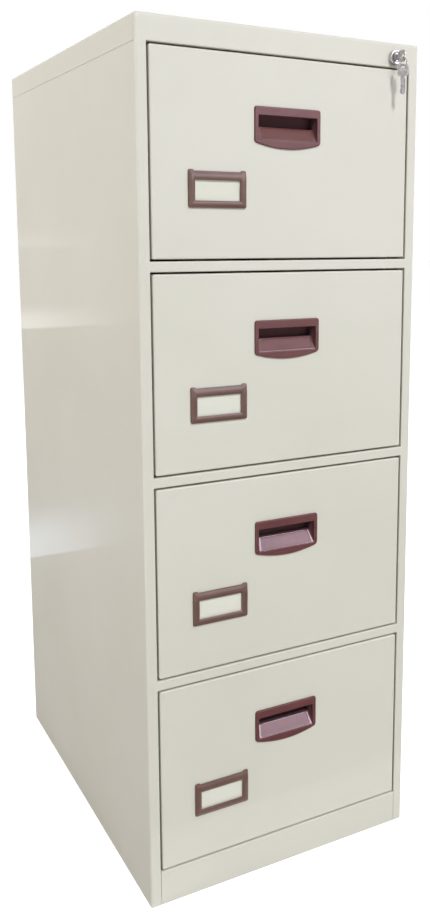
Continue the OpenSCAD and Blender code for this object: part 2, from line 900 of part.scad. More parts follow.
// Tabs on the bar: a slotted one for the pin, and a lug that rises before the catch of each drawer.
module lock_lugs() {
    slot_x0 = pin_x - pin_d / 2 - bar_clear;
    slot_x1 = lock_x + cam_r + pin_d / 2 + bar_clear;
    color(zinc) along_y(bar_y, bar_y + bar_t) {
        difference() {
            rect(slot_x0 - bar_t, bar_x, pin_z - slot_h - bar_t, bar_head);
            rect(slot_x0, slot_x1, pin_z - slot_h, pin_z + slot_h);
        }
        for (i = [1:drawers])
            rect(tray_x + lug_side, bar_x, lug_z(i) - lug_h, lug_z(i));
    }
}

// Straps on the side sheet that guide the bar, and a closed one under its foot.
module lock_bar_guides() {
    wall = half_w - sheet;
    x0 = bar_x - bar_clear;
    x1 = bar_x + bar_w + bar_clear;
    y0 = bar_y - bar_clear;
    y1 = bar_y + bar_t + bar_clear;
    middles = concat([for (i = [1:drawers - 1]) lug_z(i) - pitch / 3], [bar_foot]);
    color(zinc) {
        for (z = middles)
            along_z(z, z + guide_h) difference() {
                rect(x0 - guide_t, wall, y0 - guide_t, y1 + guide_t);
                rect(x0, x1, y0, y1);
            }
        box(x0 - guide_t, wall, y0 - guide_t, y1 + guide_t, bar_foot - guide_t, bar_foot);
    }
}

side_left();
side_right();
top_cap();
back_panel();
base_plate();
plinth();
top_rail();
cross_rails();
uprights_left();
uprights_right();
lock_housing();
lock_nut();
lock_bar_guides();
lock_plug();
lock_cam();
key();
lock_bar();
lock_lugs();
key_ring();
for (i = [1:drawers]) {
    drawer_front(i);
    drawer_tray(i);
    handle(i);
    label_holder(i);
    label_card(i);
    runner_pair(i);
    slide_pair(i);
    rail_pair(i);
    cage_outer(i);
    cage_inner(i);
}
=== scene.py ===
"""Looks of a steel filing cabinet with four drawers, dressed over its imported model."""

import logging
import math
from dataclasses import dataclass, field
from enum import Enum

import bmesh
import bpy
import numpy as np
from mathutils import Matrix, Vector


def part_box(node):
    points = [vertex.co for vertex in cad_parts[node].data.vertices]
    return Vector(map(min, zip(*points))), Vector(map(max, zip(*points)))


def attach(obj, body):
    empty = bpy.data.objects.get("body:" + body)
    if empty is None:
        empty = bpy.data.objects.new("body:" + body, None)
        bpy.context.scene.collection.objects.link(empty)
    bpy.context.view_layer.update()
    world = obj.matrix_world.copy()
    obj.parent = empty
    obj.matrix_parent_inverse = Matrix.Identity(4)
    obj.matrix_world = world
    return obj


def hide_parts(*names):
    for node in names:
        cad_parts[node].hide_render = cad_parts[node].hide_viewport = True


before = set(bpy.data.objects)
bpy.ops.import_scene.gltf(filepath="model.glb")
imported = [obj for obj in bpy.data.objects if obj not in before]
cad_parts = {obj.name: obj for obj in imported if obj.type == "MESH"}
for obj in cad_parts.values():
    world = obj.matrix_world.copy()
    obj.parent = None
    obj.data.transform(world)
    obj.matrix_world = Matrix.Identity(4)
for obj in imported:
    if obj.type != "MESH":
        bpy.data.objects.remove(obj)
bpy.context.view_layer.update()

MM = 0.001
WELD = 0.001
TINY = 1e-6
DRAWERS = (1, 2, 3, 4)
WHITE = (1.0, 1.0, 1.0)
log = logging.getLogger("filing_cabinet")

Pair = tuple[float, float]
Triple = tuple[float, float, float]


class Slot(Enum):
    """Material slots of the record that the pieces take their finish from."""

    CASE = "case_paint"
    STEEL = "zinc_steel"
    PLASTIC = "brown_plastic"
    NICKEL = "nickel_plate"
    CARD = "card"


def round_loops(
    x0: np.ndarray, x1: np.ndarray, z0: np.ndarray, z1: np.ndarray, r: np.ndarray,
    corner: int = 6, run: int = 12
) -> np.ndarray:
    """Rectangles with round corners, one for each station.

    Each corner is a quarter circle of radius r about a centre r inside both sides, and straight runs of
    evenly spaced points join the end of one corner to the start of the next.

    Args:
        x0, x1, z0, z1: sides of the rectangles, one value a station or one for all.
        r: corner radius.
        corner: steps in a corner.
        run: steps in a straight run.

    Returns:
        Points of shape (stations, points, 2), counter-clockwise from the lower left corner.
    """
    x0, x1, z0, z1, r = np.broadcast_arrays(*np.atleast_1d(x0, x1, z0, z1, r))
    centres = np.stack(
        [np.stack([x0 + r, z0 + r], -1), np.stack([x1 - r, z0 + r], -1),
         np.stack([x1 - r, z1 - r], -1), np.stack([x0 + r, z1 - r], -1)], 1)
    half_turns = np.array([1.0, 1.5, 0.0, 0.5])
    angle = half_turns[:, None] * np.pi + np.linspace(0, np.pi / 2, corner + 1)
    arcs = centres[:, :, None, :] + r[:, None, None, None] * np.stack([np.cos(angle), np.sin(angle)], -1)
    t = np.linspace(0, 1, run + 1)[1:-1][:, None]
    runs = arcs[:, :, -1:, :] * (1 - t) + np.roll(arcs, -1, axis=1)[:, :, :1, :] * t
    return np.concatenate([arcs, runs], 2).reshape(len(x0), -1, 2)


def quarter(steps: int) -> tuple[np.ndarray, np.ndarray]:
    """Cosine and sine over a quarter turn, from the start of a rounded edge to its end."""
    a = np.linspace(0, np.pi / 2, steps + 1)
    return np.cos(a), np.sin(a)


def smooth_step(x: np.ndarray, low: float, high: float) -> np.ndarray:
    """Rises from 0 at low to 1 at high along 3t^2 - 2t^3."""
    t = np.clip((x - low) / (high - low), 0, 1)
    return t * t * (3 - 2 * t)


def empty_tree(owner: bpy.types.Material | bpy.types.World) -> bpy.types.NodeTree:
    """Gives a material or a world a node tree with nothing in it."""
    owner.use_nodes = True
    owner.node_tree.nodes.clear()
    return owner.node_tree


class Shell:
    """Gathers grids of points, in millimetres, into one closed mesh."""

    def __init__(self) -> None:
        """Starts with no points."""
        self.points: list[np.ndarray] = []
        self.quads: list[np.ndarray] = []
        self.count = 0

    def add(self, grid: np.ndarray, wrap_rows: bool = False) -> "Shell":
        """Takes a grid of points as a sheet of quads between neighbours; its last column joins the first.

        Args:
            grid: points of shape (rows, columns, 3).
            wrap_rows: whether the last row joins the first.

        Returns:
            The shell itself.
        """
        rows, columns = grid.shape[:2]
        index = np.arange(rows * columns).reshape(rows, columns) + self.count
        if wrap_rows:
            index = np.concatenate([index, index[:1]], 0)
        index = np.concatenate([index, index[:, :1]], 1)
        corners = [index[:-1, :-1], index[1:, :-1], index[1:, 1:], index[:-1, 1:]]
        self.quads.append(np.stack(corners, -1).reshape(-1, 4))
        self.points.append(grid.reshape(-1, 3))
        self.count += rows * columns
        return self

    def build(self, name: str, sharp: float = 40.0) -> bpy.types.Object:
        """Welds equal points, turns the faces outwards and makes the object.

        Args:
            name: name of the piece.
            sharp: angle in degrees over which an edge stays sharp.

        Returns:
            The object, at the origin, with its place in its mesh.
        """
        points = np.concatenate(self.points) * MM
        key = np.round(points / (WELD * MM)).astype(np.int64)
        _, first, weld = np.unique(key, axis=0, return_index=True, return_inverse=True)
        quads = weld.reshape(-1)[np.concatenate(self.quads)]
        same = quads == np.roll(quads, -1, axis=1)
        whole = quads[same.sum(1) == 0]
        pinched = same.sum(1) == 1
        drop = (np.argmax(same[pinched], 1)[:, None] + np.arange(1, 4)) % 4
        thirds = np.take_along_axis(quads[pinched], drop, axis=1)
        mesh = bpy.data.meshes.new(name)
        mesh.from_pydata(points[first].tolist(), [], whole.tolist() + thirds.tolist())
        work = bmesh.new()
        work.from_mesh(mesh)
        bmesh.ops.recalc_face_normals(work, faces=work.faces)
        work.to_mesh(mesh)
        work.free()
        mesh.polygons.foreach_set("use_smooth", np.ones(len(mesh.polygons), bool))
        mesh.set_sharp_from_angle(angle=math.radians(sharp))
        piece = bpy.data.objects.new(name, mesh)
        bpy.context.collection.objects.link(piece)
        return piece


class Recipe:
    """Node tree of one finish, written in short."""

    def __init__(self, name: str) -> None:
        """Makes an empty material with a Principled shader."""
        self.material = bpy.data.materials.new(name)
        self.tree = empty_tree(self.material)
        self.shader = self.add("ShaderNodeBsdfPrincipled")
        output = self.add("ShaderNodeOutputMaterial")
        self.join(self.shader, "BSDF", output, "Surface")
        self.place = self.add("ShaderNodeTexCoord")

    def add(self, kind: str, **values: object) -> bpy.types.Node:
        """Adds a node and sets its inputs, or its properties where it has no such input.

        Args:
            kind: type of the node.
            values: inputs by name with _ for a space, and properties.

        Returns:
            The node.
        """
        node = self.tree.nodes.new(kind)
        for name, value in values.items():
            socket = node.inputs.get(name.replace("_", " "))
            if socket is None:
                setattr(node, name, value)
            else:
                socket.default_value = value
        return node

    def join(self, source: bpy.types.Node, output: str, target: bpy.types.Node, name: str | int) -> None:
        """Links an output of one node to an input of another."""
        self.tree.links.new(source.outputs[output], target.inputs[name])

    def noise(
        self, scale: float, detail: float, roughness: float, stretch: Triple | None = None
    ) -> bpy.types.Node:
        """Noise over the piece's own place in metres, so scale counts per metre.

        Args:
            scale, detail, roughness: inputs of the noise.
            stretch: factors on X, Y and Z, a small one draws the pattern out.

        Returns:
            The noise.
        """
        node = self.add("ShaderNodeTexNoise", Scale=scale, Detail=detail, Roughness=roughness)
        source, output = self.place, "Object"
        if stretch is not None:
            source, output = self.add("ShaderNodeMapping", Scale=stretch), "Vector"
            self.join(self.place, "Object", source, "Vector")
        self.join(source, output, node, "Vector")
        return node

    def tint(
        self, source: bpy.types.Node, output: str, stops: Pair, colours: tuple[Triple, Triple]
    ) -> None:
        """Colours the shader by a ramp between two stops.

        Args:
            source: node that drives the ramp.
            output: its output.
            stops: places of the stops, from 0 to 1.
            colours: their linear colours.
        """
        ramp = self.add("ShaderNodeValToRGB")
        for element, place, colour in zip(ramp.color_ramp.elements, stops, colours):
            element.position = place
            element.color = (*colour, 1.0)
        self.join(source, output, ramp, "Fac")
        self.join(ramp, "Color", self.shader, "Base Color")

    def polish(self, source: bpy.types.Node, output: str, gloss: Pair, stops: Pair = (0.3, 0.7)) -> None:
        """Lets a pattern move the roughness between two values.

        Args:
            source: node that drives it.
            output: its output.
            gloss: roughness at the two stops.
            stops: values of the pattern.
        """
        spread = self.add("ShaderNodeMapRange")
        spread.inputs["From Min"].default_value, spread.inputs["From Max"].default_value = stops
        spread.inputs["To Min"].default_value, spread.inputs["To Max"].default_value = gloss
        self.join(source, output, spread, "Value")
        self.join(spread, "Result", self.shader, "Roughness")

    def relief(self, layers: list[tuple[bpy.types.Node, str, float]]) -> None:
        """Stacks bumps, each with its own depth in metres.

        Args:
            layers: patterns with their outputs and depths, the coarsest first.
        """
        below = None
        for source, output, depth in layers:
            bump = self.add("ShaderNodeBump", Strength=1.0, Distance=depth)
            self.join(source, output, bump, "Height")
            if below is not None:
                self.join(below, "Normal", bump, "Normal")
            below = bump
        self.join(below, "Normal", self.shader, "Normal")


@dataclass(frozen=True)
class PowderCoat:
    """Cream powder coat with orange peel, over sheet that isn't quite flat.

    Each noise is given by its scale, detail and roughness.
    """

    light: Triple = (0.735, 0.714, 0.618)
    deep: Triple = (0.700, 0.680, 0.583)
    drift: Triple = (3.2, 3.0, 0.55)
    drift_stops: Pair = (0.32, 0.68)
    peel: Triple = (620.0, 1.5, 0.45)
    peel_depth: float = 0.000018
    wave: Triple = (5.0, 1.0, 0.4)
    wave_depth: float = 0.0006
    gloss: Pair = (0.46, 0.56)
    ior: float = 1.5
    coat: float = 0.4
    coat_rough: float = 0.04

    def material(self, name: str) -> bpy.types.Material:
        """Colour drifts slowly, gloss follows the peel, and two bumps give peel and waves."""
        recipe = Recipe(name)
        recipe.tint(recipe.noise(*self.drift), "Fac", self.drift_stops, (self.deep, self.light))
        peel = recipe.noise(*self.peel)
        wave = recipe.noise(*self.wave)
        recipe.polish(peel, "Fac", self.gloss)
        recipe.relief([(wave, "Fac", self.wave_depth), (peel, "Fac", self.peel_depth)])
        recipe.shader.inputs["IOR"].default_value = self.ior
        recipe.shader.inputs["Coat Weight"].default_value = self.coat
        recipe.shader.inputs["Coat Roughness"].default_value = self.coat_rough
        return recipe.material


@dataclass(frozen=True)
class MouldedPlastic:
    """Red-brown moulded plastic with a fine grain and flow marks."""

    gloss: Pair
    light: Triple = (0.170, 0.057, 0.056)
    deep: Triple = (0.132, 0.042, 0.041)
    flow: Triple = (70.0, 4.0, 0.6)
    flow_stretch: Triple = (0.35, 1.0, 1.0)
    flow_stops: Pair = (0.3, 0.7)
    flow_depth: float = 0.00012
    grain: Triple = (1900.0, 2.0, 0.6)
    grain_depth: float = 0.00003
    ior: float = 1.52
    specular: float = 0.5
    coat: float = 0.0
    coat_rough: float = 0.12

    def material(self, name: str) -> bpy.types.Material:
        """Flow marks stretch along X, and the grain drives gloss and bump."""
        recipe = Recipe(name)
        flow = recipe.noise(*self.flow, stretch=self.flow_stretch)
        recipe.tint(flow, "Fac", self.flow_stops, (self.deep, self.light))
        grain = recipe.noise(*self.grain)
        recipe.polish(grain, "Fac", self.gloss)
        recipe.relief([(flow, "Fac", self.flow_depth), (grain, "Fac", self.grain_depth)])
        recipe.shader.inputs["IOR"].default_value = self.ior
        recipe.shader.inputs["Specular IOR Level"].default_value = self.specular
        recipe.shader.inputs["Coat Weight"].default_value = self.coat
        recipe.shader.inputs["Coat Roughness"].default_value = self.coat_rough
        return recipe.material


@dataclass(frozen=True)
class PlatedMetal:
    """Bright plating with a soft cloudiness and fine scratches."""

    light: Triple
    deep: Triple
    gloss: Pair
    cloud_scale: float
    cloud_stops: Pair = (0.2, 0.8)
    scratch: Triple = (2600.0, 3.0, 0.6)
    scratch_stretch: Triple = (1.0, 0.04, 1.0)
    scratch_depth: float = 0.000006

    def material(self, name: str) -> bpy.types.Material:
        """Cells tint the plating, and noise drawn out along Y scratches it."""
        recipe = Recipe(name)
        cells = recipe.add("ShaderNodeTexVoronoi", Scale=self.cloud_scale)
        recipe.join(recipe.place, "Object", cells, "Vector")
        recipe.tint(cells, "Color", self.cloud_stops, (self.deep, self.light))
        scratch = recipe.noise(*self.scratch, stretch=self.scratch_stretch)
        recipe.polish(scratch, "Fac", self.gloss)
        recipe.relief([(scratch, "Fac", self.scratch_depth)])
        recipe.shader.inputs["Metallic"].default_value = 1.0
        return recipe.material


@dataclass(frozen=True)
class PaperCard:
    """Plain index card with a faint fibre."""

    light: Triple = (0.800, 0.790, 0.690)
    deep: Triple = (0.760, 0.750, 0.650)
    fibre: Triple = (1500.0, 4.0, 0.65)
    fibre_stretch: Triple = (0.2, 1.0, 1.0)
    fibre_stops: Pair = (0.3, 0.7)
    fibre_depth: float = 0.00002
    gloss: Pair = (0.78, 0.9)

    def material(self, name: str) -> bpy.types.Material:
        """Fibres are noise drawn out along X."""
        recipe = Recipe(name)
        fibre = recipe.noise(*self.fibre, stretch=self.fibre_stretch)
        recipe.tint(fibre, "Fac", self.fibre_stops, (self.deep, self.light))
        recipe.polish(fibre, "Fac", self.gloss)
        recipe.relief([(fibre, "Fac", self.fibre_depth)])
        return recipe.material


ZINC = PlatedMetal(
    light=(0.62, 0.63, 0.64), deep=(0.50, 0.51, 0.53), gloss=(0.34, 0.5), cloud_scale=160.0)
NICKEL = PlatedMetal(
    light=(0.58, 0.56, 0.56), deep=(0.46, 0.445, 0.445), gloss=(0.16, 0.3), cloud_scale=420.0)
SATIN_BROWN = MouldedPlastic(gloss=(0.25, 0.35))
POLISHED_BROWN = MouldedPlastic(gloss=(0.16, 0.26), grain_depth=0.00001, coat=0.8)
# Shaded copy of the pull's plastic: rougher, with little sheen and a cooler brown, it paints shade into the
# pulls' cups.
POCKET_SHADE_BROWN = MouldedPlastic(
    gloss=(0.75, 0.85), light=(0.140, 0.066, 0.072), deep=(0.110, 0.051, 0.056), specular=0.12)
UMBER = MouldedPlastic(
    gloss=(0.30, 0.40), light=(0.172, 0.094, 0.072), deep=(0.136, 0.072, 0.053), specular=0.45)


class Finishes:
    """All finishes of the cabinet, made once and shared."""

    def __init__(self) -> None:
        """Makes the material of each slot, and the plastic's other finishes, one of them a shaded copy that
        paints shade into the pulls' cups.
        """
        self.by_slot: dict[Slot, bpy.types.Material] = {
            Slot.CASE: PowderCoat().material("cream_powder_coat"),
            Slot.PLASTIC: SATIN_BROWN.material("red_brown_plastic"),
            Slot.STEEL: ZINC.material("zinc_plate"),
            Slot.NICKEL: NICKEL.material("nickel_plate"),
            Slot.CARD: PaperCard().material("index_card"),
        }
        self.polished = POLISHED_BROWN.material("polished_plastic")
        # Painted shade: a darker-looking copy of the plastic for the inside of the pulls' cups.
        self.matt = POCKET_SHADE_BROWN.material("pocket_shade_plastic")
        self.umber = UMBER.material("umber_plastic")

    def dress(self, piece: bpy.types.Object, slot: Slot, finish: bpy.types.Material | None = None) -> None:
        """Gives a piece the material of its slot, or another finish of that slot."""
        piece.data.materials.clear()
        piece.data.materials.append(finish or self.by_slot[slot])

    def dress_nodes(self, slot: Slot, *names: str) -> None:
        """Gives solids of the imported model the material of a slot.

        Args:
            slot: the slot.
            names: names of the nodes.
        """
        for name in names:
            self.dress(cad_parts[name], slot)
            log.info("%s: %s", name, slot.value)

    def fit(
        self, piece: bpy.types.Object, slot: Slot, body: str, *stands_for: str,
        finish: bpy.types.Material | None = None
    ) -> None:
        """Dresses a new piece, lets it ride on a body and hides what it stands for.

        Args:
            piece: the new piece.
            slot: its slot.
            body: body that carries it.
            stands_for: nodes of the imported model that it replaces.
            finish: material in place of the slot's own.
        """
        self.dress(piece, slot, finish)
        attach(piece, body)
        if stands_for:
            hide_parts(*stands_for)
        log.info("%s: rides on %s, %d faces", piece.name, body, len(piece.data.polygons))


@dataclass
class Case:
    """Sheets, rails and uprights of the case."""

    finishes: Finishes
    sheets: tuple[str, ...] = (
        "side_left", "side_right", "top_cap", "back_panel", "base_plate", "plinth", "top_rail", "cross_rails")
    uprights: tuple[str, ...] = ("uprights_left", "uprights_right")

    def build(self) -> None:
        """Dresses the solids, whose folds and seams are right as they are."""
        self.finishes.dress_nodes(Slot.CASE, *self.sheets)
        self.finishes.dress_nodes(Slot.STEEL, *self.uprights)


@dataclass
class FlushPull:
    """Moulded flush pull of a drawer: flange, finger cup, sloping ledge and pocket behind the bar (mm)."""

    number: int
    finishes: Finishes
    half: float = 55.5
    height: float = 51.0
    bow: float = 8.5
    flange: float = 3.0
    corner: float = 4.0
    edge: float = 1.3
    groove: float = 0.7
    groove_front: Pair = (-0.35, -0.4)
    corner_least: float = 1.2
    face_margin: float = 0.25
    mouth_half: float = 49.5
    mouth_corner: float = 1.0
    bar: float = 12.5
    sill: float = -47.8
    lip: float = 0.8
    ledge_front: float = -2.2
    ledge_run: float = 10.0
    ledge_rise: float = 19.5
    ledge_soft: float = 0.6
    pinch: float = 3.0
    bar_back: float = 3.0
    pocket_top: float = -6.5
    cup_depth: float = 20.0
    wall: float = 1.3
    cup_under: float = 2.5
    cup_past: float = 1.0
    cup_corner: float = 1.5
    edge_steps: int = 6
    front_steps: int = 9
    back_steps: int = 22
    run_steps: int = 24
    border_ends: float = 4.4
    border_foot: float = 1.6
    border_head: float = 0.8
    border_rise: float = 0.5
    border_sunk: float = 0.5
    border_soft: float = 0.8
    border_clear: float = 0.4
    border_corner: float = 0.6
    border_steps: int = 4
    ledge_facing: float = -0.5

    def ledge_height(self, y: np.ndarray) -> np.ndarray:
        """Bottom of the cup at a depth: flat, then a ramp, then flat, with softened bends."""
        soft, start, end = self.ledge_soft ** 2, self.ledge_front, self.ledge_front + self.ledge_run
        ramp = 0.5 * (np.sqrt((y - start) ** 2 + soft) - np.sqrt((y - end) ** 2 + soft) + self.ledge_run)
        return self.sill + ramp * self.ledge_rise / self.ledge_run

    def stations(self) -> np.ndarray:
        """Half width, bottom, top, corner radius, bow and depth of each rectangle of the loft.

        The skin runs from the back of the cup along its outside, round the flange, over the face and down
        into the mouth to the back wall.

        Returns:
            Array of shape (stations, 6).
        """
        cos, sin = quarter(self.edge_steps)
        deep = np.array([self.cup_depth + self.wall, self.ledge_run + self.cup_past, 0.0])
        outside = np.stack([
            np.full(deep.shape, self.mouth_half + self.wall), self.ledge_height(deep) - self.cup_under,
            np.full(deep.shape, self.pocket_top + self.wall), np.full(deep.shape, self.cup_corner),
            np.zeros(deep.shape), deep], -1)
        inset = np.concatenate([
            [self.groove, self.groove, 0.0], self.edge * (1 - cos), [self.edge + self.face_margin]])
        depth = np.concatenate([
            [0.0, *self.groove_front], -(self.flange - self.edge) - self.edge * sin, [-self.flange]])
        rim = np.stack([
            self.half - inset, -self.height + inset, -inset,
            np.maximum(self.corner - inset, self.corner_least), np.full(inset.shape, self.bow), depth], -1)
        grow = np.concatenate([[self.lip + self.face_margin], self.lip * (1 - sin)])
        sink = np.concatenate([[0.0], self.lip * (1 - cos)]) - self.flange
        mouth = np.stack([
            self.mouth_half + grow, self.sill - grow, -self.bar + grow, self.mouth_corner + grow,
            np.zeros(grow.shape), sink], -1)
        front = np.linspace(sink[-1], self.bar_back, self.front_steps)[1:]
        back = np.linspace(self.bar_back, self.cup_depth, self.back_steps)
        y = np.concatenate([front, back])
        top = np.where(np.arange(len(y)) < len(front), -self.bar, self.pocket_top)
        inside = np.stack([
            np.full(y.shape, self.mouth_half), self.ledge_height(y), top,
            np.full(y.shape, self.mouth_corner), np.zeros(y.shape), y], -1)
        poles = np.stack([outside[0], inside[-1]]) * [0.0, 1.0, 1.0, 0.0, 0.0, 1.0]
        poles[:, 1:3] = poles[:, 1:3].mean(1, keepdims=True)
        return np.concatenate([poles[:1], outside, rim, mouth, inside, poles[1:]])

    def skin(self) -> np.ndarray:
        """Lofts the stations; the bow drops the lower edge by bow (1 - (x / half)^2).

        Down the ledge the cup's ends draw in towards its top, most at the bottom of each rectangle.

        Returns:
            Grid of shape (stations, points, 3), from the middle of the flange's top edge.
        """
        half, low, high, r, bow, y = self.stations().T
        loops = round_loops(-half, half, low, high, r, run=self.run_steps)
        x, z = loops[..., 0], loops[..., 1]
        wide, tall = np.maximum(half, TINY)[:, None], np.maximum(high - low, TINY)[:, None]
        drop = (high[:, None] - z) / tall
        drawn = self.pinch * np.clip((y - self.ledge_front) / self.ledge_run, 0, 1) * (bow == 0)
        z = z - bow[:, None] * (1 - (x / wide) ** 2) * drop
        x = x * (1 - drawn[:, None] / wide * drop)
        return np.stack([x, np.broadcast_to(y[:, None], x.shape), z], -1)

    def ledge_border(self) -> np.ndarray:
        """Raised border of the sloping ledge: a rounded rib carried round a rectangle on the slope.

        The rib is widest at both ends and narrowest along the top, so its section stretches on the way round.

        Returns:
            Grid of shape (stations, points, 3), closed both ways.
        """
        slope = math.hypot(self.ledge_run, self.ledge_rise)
        back, up = self.ledge_run / slope, self.ledge_rise / slope
        cos, sin = quarter(self.border_steps)
        soft = self.border_rise * self.border_soft
        share = soft / self.border_ends
        inset = np.concatenate([[0.0], share * (1 - cos), 1 - share * (1 - cos[::-1]), [1.0]])
        rise = np.concatenate([[-self.border_sunk], self.border_rise - soft * (1 - sin)])
        rise = np.concatenate([rise, rise[::-1]])
        end = self.mouth_half - self.border_clear - self.border_ends * inset
        foot = self.border_clear + self.border_foot * inset
        head = slope - self.border_clear - self.border_head * inset
        loops = round_loops(-end, end, foot, head, self.border_corner, corner=self.border_steps)
        x, along = loops[..., 0], loops[..., 1]
        x = x * (1 - self.pinch / self.mouth_half * along / slope)
        out = rise[:, None]
        y = self.ledge_front + back * along - up * out
        return np.stack([x, y, self.sill + up * along + back * out], -1)

    def shade_cup(self, piece: bpy.types.Object, front: float) -> None:
        """Gives the inside of the cup, all but the ledge, a shaded copy of the plastic: painted shade in the
        pocket.

        Args:
            piece: the pull.
            front: place of the drawer's face along Y in millimetres.
        """
        mesh = piece.data
        # Second material: the shaded copy of the plastic, which paints shade into the pocket.
        mesh.materials.append(self.finishes.matt)
        centre, normal = np.empty((2, len(mesh.polygons) * 3), np.float32)
        mesh.polygons.foreach_get("center", centre)
        mesh.polygons.foreach_get("normal", normal)
        depth = centre[1::3] / MM - front
        sloping = normal[1::3] < self.ledge_facing
        ledge = sloping & (depth < self.ledge_front + self.ledge_run + self.ledge_soft)
        # Faces deep in the cup, apart from the ledge, take the painted shade.
        cup = (depth > self.lip - self.flange) & ~ledge
        mesh.polygons.foreach_set("material_index", cup.astype(np.int32))

    def build(self) -> None:
        """Places the pull where its solid is."""
        low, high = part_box(f"handle_{self.number}")
        place = np.array([(low.x + high.x) / 2, low.y, high.z]) / MM + [0.0, self.flange, 0.0]
        body = f"drawer_{self.number}"
        piece = Shell().add(self.skin() + place).build(f"pull_{self.number}")
        self.finishes.fit(piece, Slot.PLASTIC, body, f"handle_{self.number}")
        self.shade_cup(piece, place[1])
        border = Shell().add(self.ledge_border() + place, wrap_rows=True).build(f"pull_border_{self.number}")
        self.finishes.fit(border, Slot.PLASTIC, body, finish=self.finishes.polished)


@dataclass
class LabelHolder:
    """Moulded frame with two ears, a bevelled window and a slot for the card (mm)."""

    number: int
    finishes: Finishes
    half: float = 45.5
    height: float = 53.5
    thick: float = 3.0
    corner: float = 2.4
    edge: float = 1.0
    groove: float = 0.7
    groove_front: Pair = (-0.5, -0.6)
    corner_least: float = 0.9
    face_margin: float = 0.2
    ear: float = 8.0
    ear_rise: float = 2.0
    ear_ease: Pair = (-1.0, 0.8)
    brow: float = 0.6
    lean: float = 2.0
    crown: float = 1.0
    window_half: float = 35.5
    window_low: float = -43.5
    window_high: float = -14.5
    soft: float = 0.45
    soft_start: float = 0.3
    inner_corner: float = 0.5
    lip: float = 0.8
    undercut: float = 1.2
    undercut_front: float = 0.25
    slot_front: float = 0.75
    card_half: float = 41.4
    card_low: float = -49.4
    card_high: float = -3.8
    edge_steps: int = 5
    crown_steps: int = 8
    run_steps: int = 64

    def skin(self) -> np.ndarray:
        """Carries the frame's section round the outline; the ears rise at both ends of the top edge.

        The top edge drops by the ears' height between them, along a smooth step beside each ear. The front
        stands out evenly from the bottom edge to the top of the window, by the brow, and leans back evenly
        from there to the top edge. Between its two edges the border is crowned along a parabola. The window
        widens behind its front edge.

        Returns:
            Grid of shape (stations, points, 3), closed both ways, from the middle of the ears' tops.
        """
        cos, sin = quarter(self.edge_steps)
        inset = np.concatenate([
            [self.groove, self.groove, 0.0], self.edge * (1 - cos), [self.edge + self.face_margin]])
        depth = np.concatenate([
            [0.0, *self.groove_front], -(self.thick - self.edge) - self.edge * sin, [-self.thick]])
        outer = np.stack([
            self.half - inset, -self.height + inset, -inset,
            np.maximum(self.corner - inset, self.corner_least), np.ones(inset.shape), depth], -1)
        turned = self.soft * self.soft_start
        grow = np.array([self.soft, turned, 0.0, 0.0, self.undercut, self.undercut])
        sink = -np.array([
            self.thick, self.thick - turned, self.thick - self.soft, self.thick - self.lip,
            self.slot_front + self.undercut_front, self.slot_front])
        window = np.stack([
            self.window_half + grow, self.window_low - grow, self.window_high + grow,
            self.inner_corner + grow * self.soft_start, np.zeros(grow.shape), sink], -1)
        card = [self.card_half, self.card_low, self.card_high, self.inner_corner, 0.0]
        slot = np.array([[*card, -self.slot_front], [*card, 0.0]])
        share = np.linspace(0.0, 1.0, self.crown_steps)[1:-1, None]
        face = outer[-1:] + share * (window[:1] - outer[-1:])
        face[:, -1] -= (4.0 * self.crown * share * (1.0 - share))[:, 0]
        half, low, high, r, eared, y = np.concatenate([outer, face, window, slot]).T
        loops = round_loops(-half, half, low, high, r, corner=self.edge_steps, run=self.run_steps)
        x, z = loops[..., 0], loops[..., 1]
        start, end = self.half - self.ear + np.array(self.ear_ease)
        between = 1 - smooth_step(np.abs(x), start, end)
        up = smooth_step((z - low[:, None]) / (high - low)[:, None], 0.5, 1.0)
        z = z - self.ear_rise * eared[:, None] * between * up
        front = np.clip((-y - self.slot_front) / (self.thick - self.slot_front), 0, 1)[:, None]
        turn = self.window_high + self.soft
        forward = self.brow * np.clip((z + self.height) / (turn + self.height), 0, 1)
        back = self.lean * np.clip((z - turn) / -turn, 0, 1)
        return np.stack([x, y[:, None] - front * (forward - back), z], -1)

    def build(self) -> None:
        """Places the frame where its solid is and dresses the card behind it."""
        low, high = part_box(f"label_holder_{self.number}")
        place = np.array([(low.x + high.x) / 2, low.y, high.z]) / MM + [0.0, self.thick, 0.0]
        piece = Shell().add(self.skin() + place, wrap_rows=True).build(f"label_frame_{self.number}")
        self.finishes.fit(
            piece, Slot.PLASTIC, f"drawer_{self.number}", f"label_holder_{self.number}",
            finish=self.finishes.umber)
        self.finishes.dress_nodes(Slot.CARD, f"label_card_{self.number}")


@dataclass
class Drawer:
    """One drawer with its front, tray, pull, label holder and slides."""

    number: int
    finishes: Finishes

    def build(self) -> None:
        """Dresses the drawer's solids and adds its moulded pieces."""
        n = self.number
        self.finishes.dress_nodes(Slot.CASE, f"drawer_front_{n}", f"drawer_tray_{n}")
        self.finishes.dress_nodes(Slot.STEEL, f"runner_pair_{n}", f"slide_pair_{n}", f"rail_pair_{n}")
        self.finishes.dress_nodes(Slot.NICKEL, f"cage_outer_{n}", f"cage_inner_{n}")
        FlushPull(n, self.finishes).build()
        LabelHolder(n, self.finishes).build()


